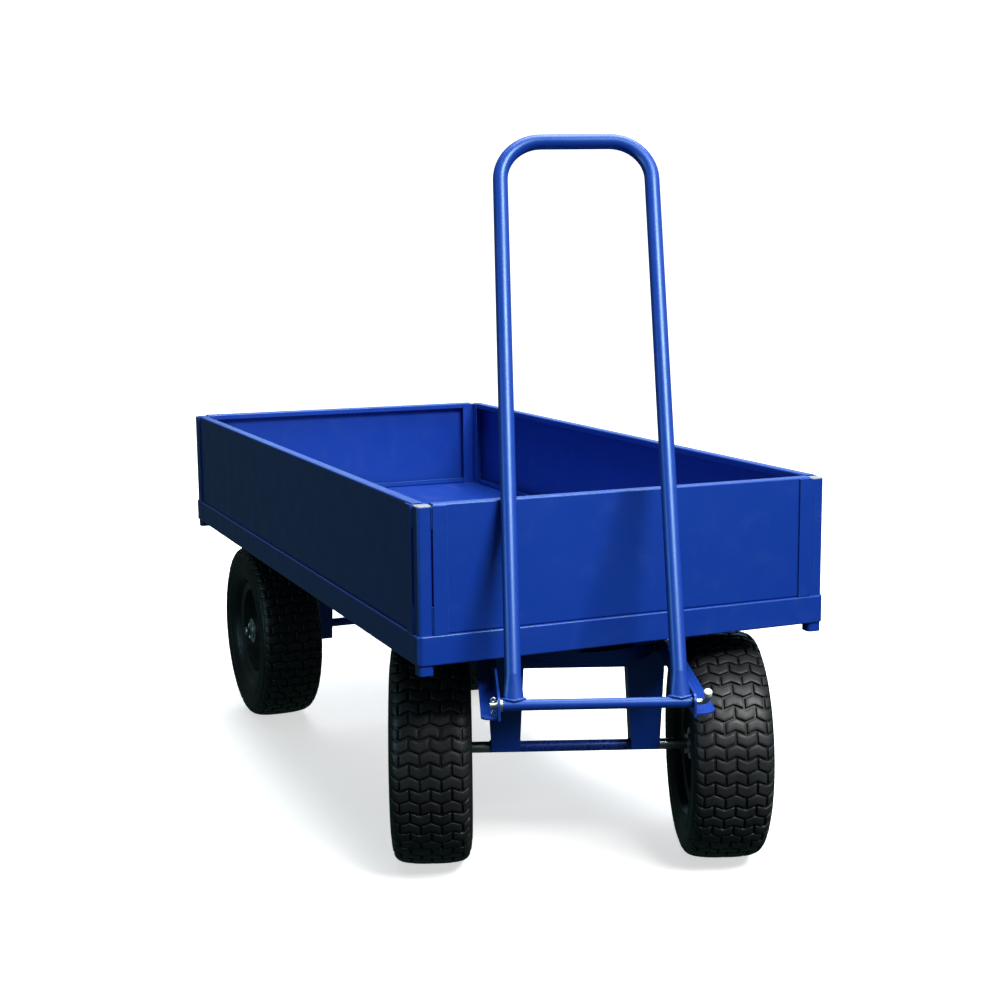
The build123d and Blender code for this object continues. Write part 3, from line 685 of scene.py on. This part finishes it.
def handle_welds():
    """A bead right round each flattened foot, where it is coped over the pivot tube."""
    pivot, axis, across, along = handle_frame()
    steps = 40
    proud = 0.0008
    for side in (-1, 1):
        path = []
        for k in range(steps):
            angle = 2 * math.pi * k / steps
            x = side * HANDLE_HALF_SPAN + (FOOT_HALF_WIDTH + proud) * math.cos(angle)
            y = FOOT_HALF_DEPTH * math.sin(angle)
            z = FOOT_EDGE_LOW + (FOOT_EDGE_HIGH - FOOT_EDGE_LOW) * abs(math.cos(angle))
            path.append(pivot + x * axis + y * across + z * along)
        weld_bead(f"handle_weld_{side + 1}", path, FOOT_BEAD, "handle", closed=True)


def axle_welds():
    """Arcs of bead over the top of each axle, where it passes through its brackets' flanges."""
    steps = 12
    proud = 0.0006
    up = Vector((0, 0, 1))
    for end, (body, faces) in AXLE_SEATS.items():
        middle, axis = axle_frame(end)
        back = up.cross(axis)
        for side in (-1, 1):
            for k, x in enumerate(faces):
                path = []
                for step in range(steps + 1):
                    angle = math.pi * (0.04 + 0.92 * step / steps)
                    radial = math.cos(angle) * back + math.sin(angle) * up
                    path.append(middle + side * x * axis + (AXLE_RADIUS + proud) * radial)
                weld_bead(f"{end}_axle_weld_{side + 1}_{k}", path, AXLE_BEAD, body)


# ---- stage ----
def make_floor():
    """A round pale floor that sweeps up into a backdrop all the way round the truck."""
    inner = 3.0
    flat = 14.0
    bend = 5.0
    rise = 9.0
    bend_steps = 12
    segments = 72
    line = [(inner, 0.0), (flat, 0.0)]
    for k in range(1, bend_steps + 1):
        angle = 0.5 * math.pi * k / bend_steps
        line.append((flat + bend * math.sin(angle), bend * (1 - math.cos(angle))))
    line.append((flat + bend, bend + rise))
    verts = [Vector((0, 0, 0))]
    for j in range(segments):
        angle = 2 * math.pi * j / segments
        verts += [Vector((r * math.cos(angle), r * math.sin(angle), z)) for r, z in line]
    count = len(line)
    faces = []
    for j in range(segments):
        here = 1 + j * count
        there = 1 + ((j + 1) % segments) * count
        faces.append((0, here, there))
        faces += [(here + i, here + i + 1, there + i + 1, there + i) for i in range(count - 1)]
    floor = smooth_object("studio_floor", verts, faces, floor_coat("studio_floor"))
    floor.visible_glossy = False
    floor.visible_diffuse = False


def make_world():
    """A dim surround: bright above and to the right, dark to the left and below the horizon."""
    world = bpy.data.worlds.new("surround")
    bpy.context.scene.world = world
    world.use_nodes = True
    tree = world.node_tree
    background = tree.nodes["Background"]
    place = tree.nodes.new("ShaderNodeTexCoord")
    split = tree.nodes.new("ShaderNodeSeparateXYZ")
    tree.links.new(place.outputs["Generated"], split.inputs["Vector"])
    height = remap(tree, split.outputs["Z"], -0.02, 0.6)
    side = remap(tree, split.outputs["X"], -0.6, 0.5, 0.08, 1.0)
    colour = blend_colour(tree, times(tree, height, side), (0.042, 0.079, 0.071), (0.80, 0.92, 1.0))
    tree.links.new(colour, background.inputs["Color"])
    background.inputs["Strength"].default_value = 0.8


def soft_light(name, place, target, size, watts, colour):
    """A rectangular softbox that faces a target point."""
    data = bpy.data.lights.new(name, "AREA")
    data.shape = "RECTANGLE"
    data.size, data.size_y = size
    data.energy = watts
    data.color = colour
    light = bpy.data.objects.new(name, data)
    bpy.context.scene.collection.objects.link(light)
    light.location = place
    aim = Vector(target) - Vector(place)
    light.rotation_euler = aim.to_track_quat("-Z", "Y").to_euler()
    return light


def make_lights():
    """A high key in front, a soft top light, a rear fill and two strips for highlights only."""
    soft_light("key_softbox", (0.9, -4.2, 4.4), (0.0, -0.5, 0.5), (2.6, 1.8), 430, (1.0, 0.99, 0.97))
    soft_light("top_softbox", (0.6, 0.2, 4.2), (0.0, 0.0, 0.0), (2.2, 3.2), 185, (0.90, 0.96, 1.0))
    fill = soft_light("rear_fill", (0.9, 4.4, 2.8), (0.0, 0.4, 0.4), (2.4, 1.6), 110, (0.92, 0.96, 1.0))
    fill.visible_glossy = False
    strip = soft_light("left_strip", (-4.2, -0.6, 1.5), (0.0, -0.8, 0.8), (1.4, 2.6), 60, (0.42, 0.80, 1.0))
    strip.visible_diffuse = False
    back = soft_light("back_strip", (2.4, 5.0, 1.1), (0.0, 0.0, 0.6), (3.6, 1.2), 22, (0.42, 0.78, 1.0))
    back.visible_diffuse = False


def make_camera():
    """The camera at the photograph's place and angle."""
    turn, tilt, roll = CAMERA_TURN, CAMERA_TILT, CAMERA_ROLL
    forward = Vector((-math.sin(turn) * math.cos(tilt), math.cos(turn) * math.cos(tilt), -math.sin(tilt)))
    level = Vector((math.cos(turn), math.sin(turn), 0.0))
    upright = level.cross(forward)
    right = level * math.cos(roll) + upright * math.sin(roll)
    up = upright * math.cos(roll) - level * math.sin(roll)
    data = bpy.data.cameras.new("camera")
    data.lens = CAMERA_LENS
    data.sensor_width = CAMERA_SENSOR
    camera = bpy.data.objects.new("camera", data)
    bpy.context.scene.collection.objects.link(camera)
    facing = Matrix((right, up, -forward)).transposed()
    camera.matrix_world = Matrix.Translation(CAMERA_PLACE) @ facing.to_4x4()
    bpy.context.scene.camera = camera


paint_cad_nodes()
bare_axle_ends()
make_tyres()
post_welds()
handle_welds()
axle_welds()
make_floor()
make_world()
make_lights()
make_camera()
bpy.context.scene.view_settings.view_transform = "Standard"
